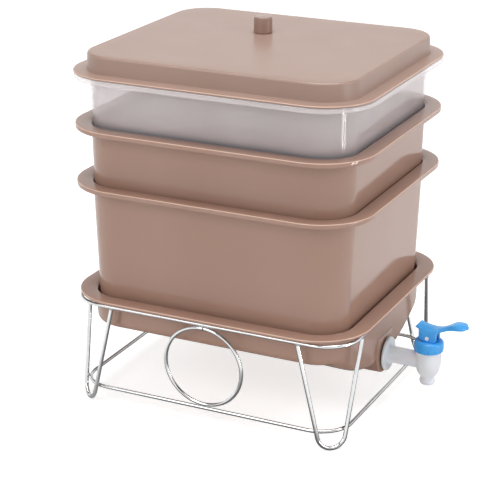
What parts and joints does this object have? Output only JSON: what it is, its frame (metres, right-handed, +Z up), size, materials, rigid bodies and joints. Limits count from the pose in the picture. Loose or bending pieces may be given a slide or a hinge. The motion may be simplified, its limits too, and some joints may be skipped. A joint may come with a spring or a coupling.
{
  "type": "wormery",
  "caption": "Stacking wormery on a wire stand: a sump with a sloping floor and lever tap, a deep, a shallow and a clear tray, and a raised lid with a round knob.",
  "frame": {"origin": "on the ground, below the middle of the whole part's length and depth", "axes": "+Z up, +X towards the tap, -Y towards the long side that the picture shows"},
  "size_m": [0.4524, 0.33, 0.4461],
  "materials": {
    "chrome_wire": "polished",
    "brown_plastic": "satin",
    "clear_plastic": "frosted",
    "lid_plastic": "fine grain",
    "screw_steel": "satin",
    "white_plastic": "satin",
    "blue_plastic": "satin",
    "black_rubber": "matt",
    "silicone": "matt"
  },
  "bodies": {
    "stand": {"stand_top_ring": "chrome_wire", "stand_bottom_ring": "chrome_wire", "stand_front_circle": "chrome_wire", "stand_back_circle": "chrome_wire", "stand_leg_front_left": "chrome_wire", "stand_leg_front_right": "chrome_wire", "stand_leg_back_left": "chrome_wire", "stand_leg_back_right": "chrome_wire"},
    "sump": {"sump_tray": "brown_plastic", "tap_body": "white_plastic", "tap_outer_gasket": "black_rubber", "tap_inner_gasket": "black_rubber", "tap_lock_nut": "white_plastic", "tap_bonnet": "blue_plastic"},
    "valve_stem": {"tap_stem": "white_plastic", "tap_plug": "silicone"},
    "valve_lever": {"tap_lever": "blue_plastic"},
    "deep_tray": {"deep_tray": "brown_plastic"},
    "shallow_tray": {"shallow_tray": "brown_plastic"},
    "clear_tray": {"clear_tray": "clear_plastic"},
    "lid": {"lid": "lid_plastic", "lid_knob": "lid_plastic", "lid_knob_screw": "screw_steel"}
  },
  "joints": [
    {"name": "sump_lift", "type": "slide", "parent": "stand", "child": "sump", "axis": [0, 0, 1], "range_m": [0, 0.045]},
    {"name": "deep_tray_lift", "type": "slide", "parent": "sump", "child": "deep_tray", "axis": [0, 0, 1], "range_m": [0, 0.08]},
    {"name": "shallow_tray_lift", "type": "slide", "parent": "deep_tray", "child": "shallow_tray", "axis": [0, 0, 1], "range_m": [0, 0.06]},
    {"name": "clear_tray_lift", "type": "slide", "parent": "shallow_tray", "child": "clear_tray", "axis": [0, 0, 1], "range_m": [0, 0.06]},
    {"name": "lid_lift", "type": "slide", "parent": "clear_tray", "child": "lid", "axis": [0, 0, 1], "range_m": [0, 0.08]},
    {"name": "stem_lift", "type": "slide", "parent": "sump", "child": "valve_stem", "axis": [0, 0, 1], "range_m": [0, 0.0038]},
    {"name": "lever_press", "type": "hinge", "parent": "valve_stem", "child": "valve_lever", "pos_m": [0.17875, 0, 0.0958], "axis": [0, 1, 0], "range_deg": [0, 25], "stiffness_Nm_per_rad": 0.03, "springref_deg": -5.73}
  ],
  "couplings": [
    {"joint": "stem_lift", "follows": "lever_press", "m_per_rad": 0.0084}
  ]
}
